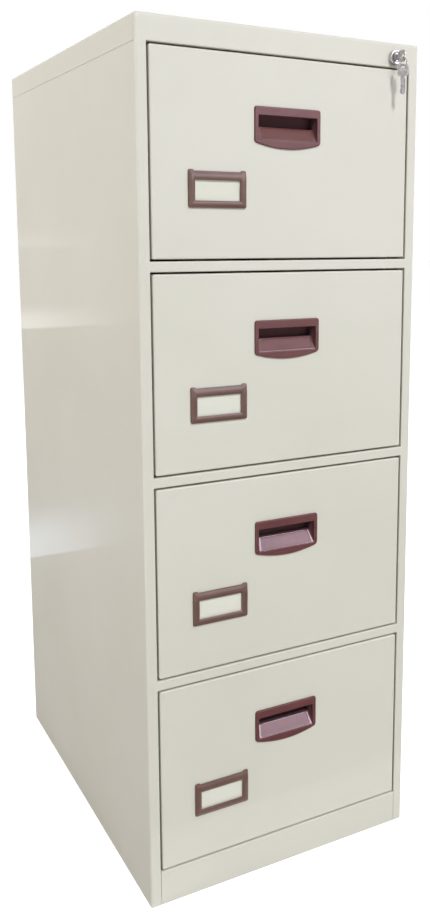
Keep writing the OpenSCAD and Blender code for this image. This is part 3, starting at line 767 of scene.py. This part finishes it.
@dataclass
class KeyShape:
    """Flat key: a bow with a hole, a neck and a blade with cuts and a milled groove (mm)."""

    bow_l: float = 19.0
    bow_w: float = 18.0
    bow_r: float = 6.0
    thick: float = 2.0
    soft: float = 0.45
    soft_start: float = 0.3
    hole_r: float = 2.6
    hole_in: float = 5.5
    root: float = 1.2
    neck_l: float = 3.0
    neck_w: float = 7.0
    blade_l: float = 18.0
    blade_w: float = 8.0
    blade_share: float = 0.92
    blade_corner: float = 0.35
    blade_from: float = 0.3
    blade_ease: Pair = (-0.2, 0.4)
    tip_l: float = 3.0
    tip_cut: float = 2.6
    tip_under: float = 0.9
    cut: float = 1.8
    cut_flat: float = 0.5
    cut_flank: float = 1.1
    groove: float = 0.34
    groove_place: float = -0.8
    groove_width: float = 0.9
    cut_places: tuple[float, ...] = (4.0, 7.2, 10.4, 13.6)
    cut_shares: tuple[float, ...] = (0.7, 1.0, 0.5, 0.85)
    bow_steps: tuple[int, int] = (10, 8)
    neck_steps: int = 5
    blade_steps: int = 70
    corner_steps: int = 4
    side_steps: int = 14

    def bow(self) -> np.ndarray:
        """Bow: points run straight from the hole to the rounded outline, and a section is carried round.

        Returns:
            Grid closed both ways: along the key (0 at the hole), across it, and through its thickness.
        """
        outline = round_loops(
            -self.hole_in, self.bow_l - self.hole_in, -self.bow_w / 2, self.bow_w / 2, self.bow_r,
            *self.bow_steps)[0]
        reach = np.linalg.norm(outline, axis=1)[:, None]
        way = outline / reach
        t, s, q = self.thick / 2, self.soft, self.soft * self.soft_start
        near = np.array([0.0, 0.0, q, s, np.nan, np.nan, np.nan, np.nan])
        far = near[::-1]
        out = np.array([0.0, t - s, t - q, t, t, t - q, t - s, 0.0])
        near, far, out = (np.concatenate([a, a[-2:0:-1]]) for a in (near, far, out))
        out[len(out) // 2 + 1:] *= -1
        radius = np.where(np.isnan(near)[:, None], reach[:, 0][None, :] - np.nan_to_num(far)[:, None],
                          self.hole_r + np.nan_to_num(near)[:, None])
        flat = radius[..., None] * way[None]
        return np.concatenate([flat, np.broadcast_to(out[:, None, None], flat.shape[:2] + (1,))], -1)

    def blade(self) -> np.ndarray:
        """Neck and blade: rounded sections along the key, cut down at each cut and hollowed by the groove.

        Returns:
            Grid of sections with a closed end at both poles.
        """
        start = self.bow_l - self.hole_in - self.root
        neck = self.root + self.neck_l
        length = neck + self.blade_l
        u = np.concatenate([
            [0.0], np.linspace(0.0, neck, self.neck_steps),
            np.linspace(neck + self.blade_from, length, self.blade_steps), [length]])
        along = u - neck
        on = smooth_step(along, *self.blade_ease)
        half = self.neck_w / 2 + on * (self.blade_w - self.neck_w) / 2
        places, shares = np.array(self.cut_places), np.array(self.cut_shares)
        aside = np.maximum(np.abs(along[:, None] - places) - self.cut_flat, 0.0)
        notch = np.clip(1.0 - aside / self.cut_flank, 0.0, 1.0)
        tip = np.clip((along - self.blade_l + self.tip_l) / self.tip_l, 0.0, 1.0) * self.tip_cut
        top = half - on * self.cut * (notch * shares).max(1) - tip
        low = -half + tip * self.tip_under
        t = self.thick / 2 * self.blade_share
        loops = round_loops(low, top, -t, t, self.blade_corner, self.corner_steps, self.side_steps)
        across, out = loops[..., 0], loops[..., 1]
        hollow = np.exp(-((across - self.groove_place) / self.groove_width) ** 2)
        out = out * (1 - on[:, None] * self.groove * hollow)
        ends = np.array([0, -1])
        across[ends] = across[ends].mean(1, keepdims=True)
        out[ends] = 0.0
        return np.stack([np.broadcast_to((start + u)[:, None], across.shape), across, out], -1)

    def shell(self, turn: np.ndarray, hole: np.ndarray) -> Shell:
        """Places the key.

        Args:
            turn: columns give the directions along, across and through the key.
            hole: place of the middle of the hole.

        Returns:
            The shell of bow and blade.
        """
        shell = Shell().add(self.bow() @ turn.T + hole, wrap_rows=True)
        return shell.add(self.blade() @ turn.T + hole)


@dataclass
class Lock:
    """Lock with its head, the key in it, the split ring and the spare key (mm)."""

    finishes: Finishes
    head_r: float = 11.25
    body_r: float = 9.0
    bore_r: float = 6.8
    head_edge: float = 1.1
    head_thick: float = 7.0
    head_rim: Pair = (0.9, 1.3)
    head_steps: int = 5
    dish: float = 0.5
    bore_edge: float = 0.5
    bore_front: float = 0.9
    turn_steps: int = 64
    wire: float = 0.92
    wire_steps: int = 12
    ring_steps: int = 193
    ring_gap: float = 0.06
    ring_start: float = 150.0
    ring_shift: float = 0.52
    ring_step: float = 5.0
    play: float = 0.2
    spare_turn: float = -40.0
    keys: KeyShape = field(default_factory=KeyShape)
    spare: KeyShape = field(default_factory=lambda: KeyShape(blade_l=24.0))

    def head(self) -> None:
        """Turns the section of housing and rounded head about the lock's axis: x = r cos a, z = r sin a."""
        low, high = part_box("lock_housing")
        cos, sin = quarter(self.head_steps)
        face, back = low.y / MM, high.y / MM
        seat = face + self.head_thick
        e = self.head_edge
        r = np.concatenate([
            [self.bore_r, self.body_r, self.body_r, self.head_r], self.head_r - e * (1 - cos),
            self.head_r - e - np.array(self.head_rim), [self.bore_r + self.bore_edge, self.bore_r]])
        y = np.concatenate([
            [back, back, seat, seat], face + e * (1 - sin),
            face + np.array([0.0, self.dish, self.dish, self.bore_front])])
        a = np.linspace(0, 2 * np.pi, self.turn_steps, endpoint=False)
        level = np.repeat(y[:, None], len(a), 1)
        ring = np.stack([np.outer(r, np.cos(a)), level, np.outer(r, np.sin(a))], -1)
        place = np.array([(low.x + high.x) / 2 / MM, 0.0, (low.z + high.z) / 2 / MM])
        piece = Shell().add(ring + place, wrap_rows=True).build("lock_head")
        self.finishes.fit(piece, Slot.NICKEL, "cabinet", "lock_housing")

    def key(self) -> None:
        """Puts the key into the plug, its bow upright."""
        low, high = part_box("key")
        middle = (np.array(low) + np.array(high)) / 2 / MM
        hole = np.array([middle[0], low.y / MM + self.keys.hole_in, middle[2]])
        turn = np.array([[0.0, 0.0, 1.0], [1.0, 0.0, 0.0], [0.0, 1.0, 0.0]])
        piece = self.keys.shell(turn, hole).build("key_in_lock")
        self.finishes.fit(piece, Slot.NICKEL, "lock_plug", "key")

    def split_ring(self) -> tuple[np.ndarray, float]:
        """Two turns of wire side by side: a circle whose offset along Y steps across after one turn.

        Returns:
            Middle of the ring and its radius to the middle of the wire.
        """
        low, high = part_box("key_ring")
        centre = (np.array(low) + np.array(high)) / 2 / MM
        radius = (high.x - low.x) / MM / 2 - (high.y - low.y) / MM / 2
        t = np.linspace(self.ring_gap, 4 * np.pi - self.ring_gap, self.ring_steps)
        shift = self.ring_shift * self.wire * np.tanh((t - 2 * np.pi) * self.ring_step)
        start = math.radians(self.ring_start)
        out = np.stack([np.cos(t + start), np.zeros(t.shape), np.sin(t + start)], -1)
        side = np.array([0.0, 1.0, 0.0])
        path = centre + radius * out + shift[:, None] * side
        b = np.linspace(0, 2 * np.pi, self.wire_steps, endpoint=False)
        thick = np.full(t.shape, self.wire / 2)
        path = np.concatenate([path[:1], path, path[-1:]])
        out = np.concatenate([out[:1], out, out[-1:]])
        thick = np.concatenate([[0.0], thick, [0.0]])
        tube = path[:, None, :] + thick[:, None, None] * (
            np.cos(b)[None, :, None] * out[:, None, :] + np.sin(b)[None, :, None] * side)
        piece = Shell().add(tube).build("split_ring")
        self.finishes.fit(piece, Slot.NICKEL, "key_ring", "key_ring")
        return centre, radius

    def spare_key(self, centre: np.ndarray, radius: float) -> None:
        """Hangs a second key from the bottom of the ring, turned about its own length.

        Args:
            centre: middle of the ring.
            radius: radius of the ring.
        """
        a = math.radians(self.spare_turn)
        hole = centre - [0.0, 0.0, radius - self.wire / 2 + self.spare.hole_r - self.play]
        along = np.array([0.0, 0.0, -1.0])
        across = np.array([math.sin(a), math.cos(a), 0.0])
        turn = np.stack([along, across, np.cross(along, across)], 1)
        piece = self.spare.shell(turn, hole).build("spare_key")
        self.finishes.fit(piece, Slot.NICKEL, "key_ring")

    def build(self) -> None:
        """Makes the lock from its head to the spare key, and dresses its solids."""
        self.head()
        self.key()
        centre, radius = self.split_ring()
        self.spare_key(centre, radius)
        self.finishes.dress_nodes(Slot.NICKEL, "lock_plug")
        self.finishes.dress_nodes(
            Slot.STEEL, "lock_nut", "lock_cam", "lock_bar", "lock_lugs", "lock_bar_guides")


@dataclass(frozen=True)
class Lamp:
    """Soft rectangular lamp that looks at a point (metres, watts)."""

    name: str
    place: Triple
    aim: Triple
    size: Pair
    power: float
    colour: Triple = WHITE

    def build(self) -> None:
        """Hangs the lamp out of sight; the cards stand for it in reflections."""
        data = bpy.data.lights.new(self.name, "AREA")
        data.shape = "RECTANGLE"
        data.size, data.size_y = self.size
        data.energy, data.color = self.power, self.colour
        lamp = bpy.data.objects.new(self.name, data)
        place = Vector(self.place)
        turn = (Vector(self.aim) - place).to_track_quat("-Z", "Y").to_matrix().to_4x4()
        lamp.matrix_world = Matrix.Translation(place) @ turn
        lamp.visible_camera = lamp.visible_glossy = False
        bpy.context.collection.objects.link(lamp)
        log.info("%s: %.0f W", self.name, self.power)


@dataclass(frozen=True)
class Card:
    """Flat card that reflections alone meet; its tone may slide along X and fade with height (metres)."""

    name: str
    corners: tuple[Triple, ...]
    tone: float
    end_tone: float | None = None
    slide: Pair = (-0.5, -0.85)
    fade: Pair = (5.0, 6.0)
    tint: Triple = WHITE

    def build(self) -> None:
        """Stands the card on the stage, unseen by the camera and by the light."""
        mesh = bpy.data.meshes.new(self.name)
        mesh.from_pydata(self.corners, [], [tuple(range(len(self.corners)))])
        card = bpy.data.objects.new(self.name, mesh)
        bpy.context.collection.objects.link(card)
        card.visible_camera = card.visible_diffuse = card.visible_shadow = card.visible_transmission = False
        material = bpy.data.materials.new(self.name)
        tree = empty_tree(material)
        glow = tree.nodes.new("ShaderNodeEmission")
        output = tree.nodes.new("ShaderNodeOutputMaterial")
        glow.inputs["Color"].default_value = (*self.tint, 1.0)
        glow.inputs["Strength"].default_value = self.tone
        if self.end_tone is not None:
            self.add_slide(tree, glow)
        tree.links.new(glow.outputs[0], output.inputs["Surface"])
        mesh.materials.append(material)
        log.info("%s: stage", self.name)

    def add_slide(self, tree: bpy.types.NodeTree, glow: bpy.types.Node) -> None:
        """Lets the strength fall from one tone to the other along X and with height.

        Args:
            tree: tree of the card's material.
            glow: its emission.
        """
        place = tree.nodes.new("ShaderNodeTexCoord")
        parts = tree.nodes.new("ShaderNodeSeparateXYZ")
        tree.links.new(place.outputs["Object"], parts.inputs[0])
        span, strength = self.tone - self.end_tone, None
        for axis, (start, end), full in (("X", self.slide, span), ("Z", self.fade, 1.0)):
            spread = tree.nodes.new("ShaderNodeMapRange")
            spread.interpolation_type = "SMOOTHSTEP"
            spread.inputs["From Min"].default_value, spread.inputs["From Max"].default_value = start, end
            spread.inputs["To Min"].default_value, spread.inputs["To Max"].default_value = full, 0.0
            tree.links.new(parts.outputs[axis], spread.inputs["Value"])
            strength = strength or tree.nodes.new("ShaderNodeMath")
            tree.links.new(spread.outputs["Result"], strength.inputs[0 if axis == "X" else 1])
        strength.operation = "MULTIPLY_ADD"
        strength.inputs[2].default_value = self.end_tone
        tree.links.new(strength.outputs[0], glow.inputs["Strength"])


def floor_card(
    name: str, x: Pair, y: Pair, tone: float, end_tone: float | None = None, tint: Triple = WHITE
) -> Card:
    """Card that lies on the floor.

    Args:
        name: name of the card.
        x, y: its sides.
        tone: its tone next to the cabinet.
        end_tone: its tone further out, if it slides.
        tint: its colour.

    Returns:
        The card.
    """
    around = ((x[0], y[0]), (x[1], y[0]), (x[1], y[1]), (x[0], y[1]))
    corners = tuple((*corner, FLOOR_CARD_LIFT) for corner in around)
    return Card(name, corners, tone, end_tone, tint=tint)


def wall_card(
    name: str, low: float, high: float, tone: float, end_tone: float | None = None, tint: Triple = WHITE
) -> Card:
    """Strip of the wall behind the left side, between two heights.

    Args:
        name: name of the strip.
        low, high: its heights.
        tone: its tone next to the cabinet.
        end_tone: its tone further out and at its upper edge, if it slides.
        tint: its colour.

    Returns:
        The card.
    """
    left, right = WALL_SIDES
    corners = ((left, WALL, low), (right, WALL, low), (right, WALL, high), (left, WALL, high))
    return Card(name, corners, tone, end_tone, fade=(low + WALL_FADE_FROM * (high - low), high), tint=tint)


FLOOR_CARD_LIFT = 0.002
WALL = 1.4
WALL_SIDES = (-3.0, -0.3)
WALL_FADE_FROM = 0.2
FRONT_SIDES = (-0.4, 2.6)
LEFT_SIDES = (-2.5, -0.2352)
COOL = (0.88, 0.98, 1.16)
LAMPS = (
    Lamp("ceiling_panel", (0.45, -7.0, 6.72), (0.0, -0.34, 0.7), (1.5, 1.5), 545.0, (0.94, 0.96, 1.0)),
    Lamp("window", (0.95, -3.1, 0.7), (0.0, -0.34, 0.7), (0.9, 1.4), 8.5),
    Lamp("side_sky", (-3.0, 0.6, 2.7), (-0.24, 0.1, 0.9), (1.6, 1.6), 80.0, (1.0, 0.955, 0.945)),
    Lamp("back_sky", (1.2, 4.0, 2.8), (0.0, 0.34, 0.7), (1.6, 1.6), 90.0),
)
CARDS = (
    floor_card("front_card", FRONT_SIDES, (-3.6, -0.5), 0.06),
    Card("doorway", ((-2.6, -3.0, 0.0), (-2.6, -0.8, 0.0), (-2.6, -0.8, 2.2), (-2.6, -3.0, 2.2)), 0.65),
    floor_card("far_floor", (-0.4, 8.0), (-9.0, -3.6), 0.7),
    Card("far_window", ((4.5, -15.2, 4.6), (12.7, -9.4, 4.6), (12.7, -9.4, 10.5), (4.5, -15.2, 10.5)), 8.2,
         tint=(0.84, 0.83, 1.0)),
    floor_card("side_floor_card", LEFT_SIDES, (-0.6, 1.345), 0.25),
    floor_card("floor_edge", LEFT_SIDES, (1.345, WALL), 1.7, 0.25, COOL),
    wall_card("wall_foot", 0.0, 0.17, 1.7, 0.3, COOL),
    wall_card("lower_wall", 0.17, 0.727, 0.3),
    wall_card("wall_sill", 0.727, 0.81, 1.9, 0.5),
    wall_card("middle_wall", 0.81, 0.98, 0.5),
    wall_card("wall_rail", 0.98, 1.04, 0.9, 0.5),
    wall_card("upper_wall", 1.04, 3.0, 0.5),
)


@dataclass
class Studio:
    """Camera, pale floor and soft light (metres)."""

    eye: Triple = (-0.7063, -1.5965, 1.0282)
    ahead: Triple = (0.49462, 0.85633, -0.14848)
    right: Triple = (0.8663, -0.49949, 0.00513)
    lens: float = 37.363
    sensor: float = 36.0
    shift: Pair = (-0.09104, -0.09076)
    clip: Pair = (0.05, 200.0)
    sky: Triple = (0.98, 0.99, 1.0)
    ambient: float = 0.2
    floor_half: float = 30.0
    floor_lines: int = 9
    floor_drop: float = 0.0006
    floor_colour: Triple = (0.62, 0.62, 0.61)
    floor_glow: float = 0.88

    def camera(self) -> None:
        """Stands the camera at the photograph's viewpoint; its axes are right, up and back."""
        data = bpy.data.cameras.new("camera")
        data.lens, data.sensor_width = self.lens, self.sensor
        data.shift_x, data.shift_y = self.shift
        data.clip_start, data.clip_end = self.clip
        ahead = Vector(self.ahead).normalized()
        right = Vector(self.right)
        right = (right - ahead * right.dot(ahead)).normalized()
        up = right.cross(ahead)
        turn = Matrix((right, up, -ahead)).transposed().to_4x4()
        camera = bpy.data.objects.new("camera", data)
        camera.matrix_world = Matrix.Translation(self.eye) @ turn
        bpy.context.collection.objects.link(camera)
        bpy.context.scene.camera = camera

    def seen_share(self, tree: bpy.types.NodeTree) -> bpy.types.NodeSocket:
        """Adds the test for rays that look at the background.

        Args:
            tree: tree that gets the nodes.

        Returns:
            Socket with 1 for camera, glossy and transmission rays and 0 for others.
        """
        path = tree.nodes.new("ShaderNodeLightPath")
        total = path.outputs["Is Camera Ray"]
        for name in ("Is Glossy Ray", "Is Transmission Ray"):
            most = tree.nodes.new("ShaderNodeMath")
            most.operation = "MAXIMUM"
            tree.links.new(total, most.inputs[0])
            tree.links.new(path.outputs[name], most.inputs[1])
            total = most.outputs[0]
        return total

    def world(self) -> None:
        """White where it is looked at, and a plain ambient light elsewhere."""
        world = bpy.data.worlds.new("studio")
        tree = empty_tree(world)
        glow = tree.nodes.new("ShaderNodeBackground")
        seen = tree.nodes.new("ShaderNodeBackground")
        mix = tree.nodes.new("ShaderNodeMixShader")
        output = tree.nodes.new("ShaderNodeOutputWorld")
        glow.inputs["Color"].default_value = (*self.sky, 1.0)
        glow.inputs["Strength"].default_value = self.ambient
        seen.inputs["Color"].default_value = (*WHITE, 1.0)
        seen.inputs["Strength"].default_value = 1.0
        tree.links.new(self.seen_share(tree), mix.inputs[0])
        tree.links.new(glow.outputs[0], mix.inputs[1])
        tree.links.new(seen.outputs[0], mix.inputs[2])
        tree.links.new(mix.outputs[0], output.inputs["Surface"])
        bpy.context.scene.world = world

    def floor(self) -> None:
        """Wide flat sheet: a grid in X and Y at no height, pale, with a little glow where it is looked at."""
        side = np.linspace(-self.floor_half, self.floor_half, self.floor_lines)
        x, y = np.meshgrid(side, side, indexing="ij")
        index = np.arange(x.size).reshape(x.shape)
        corners = [index[:-1, :-1], index[1:, :-1], index[1:, 1:], index[:-1, 1:]]
        quads = np.stack(corners, -1).reshape(-1, 4)
        mesh = bpy.data.meshes.new("floor")
        points = np.stack([x, y, np.full(x.shape, -self.floor_drop)], -1).reshape(-1, 3)
        mesh.from_pydata(points.tolist(), [], quads.tolist())
        floor = bpy.data.objects.new("floor", mesh)
        bpy.context.collection.objects.link(floor)
        material = bpy.data.materials.new("pale_floor")
        tree = empty_tree(material)
        matt = tree.nodes.new("ShaderNodeBsdfDiffuse")
        matt.inputs["Color"].default_value = (*self.floor_colour, 1.0)
        glow = tree.nodes.new("ShaderNodeEmission")
        both = tree.nodes.new("ShaderNodeAddShader")
        output = tree.nodes.new("ShaderNodeOutputMaterial")
        share = tree.nodes.new("ShaderNodeMath")
        share.operation = "MULTIPLY"
        share.inputs[1].default_value = self.floor_glow
        tree.links.new(self.seen_share(tree), share.inputs[0])
        tree.links.new(share.outputs[0], glow.inputs["Strength"])
        tree.links.new(matt.outputs[0], both.inputs[0])
        tree.links.new(glow.outputs[0], both.inputs[1])
        tree.links.new(both.outputs[0], output.inputs["Surface"])
        mesh.materials.append(material)

    def build(self) -> None:
        """Sets up camera, world, floor, cards and lamps."""
        self.camera()
        self.world()
        self.floor()
        for piece in CARDS + LAMPS:
            piece.build()
        bpy.context.scene.view_settings.view_transform = "Standard"


def main() -> None:
    """Builds the cabinet's sub-assemblies in order."""
    logging.basicConfig(level=logging.INFO, format="%(name)s %(message)s")
    finishes = Finishes()
    Case(finishes).build()
    for number in DRAWERS:
        Drawer(number, finishes).build()
    Lock(finishes).build()
    Studio().build()


if __name__ == "__main__":
    main()
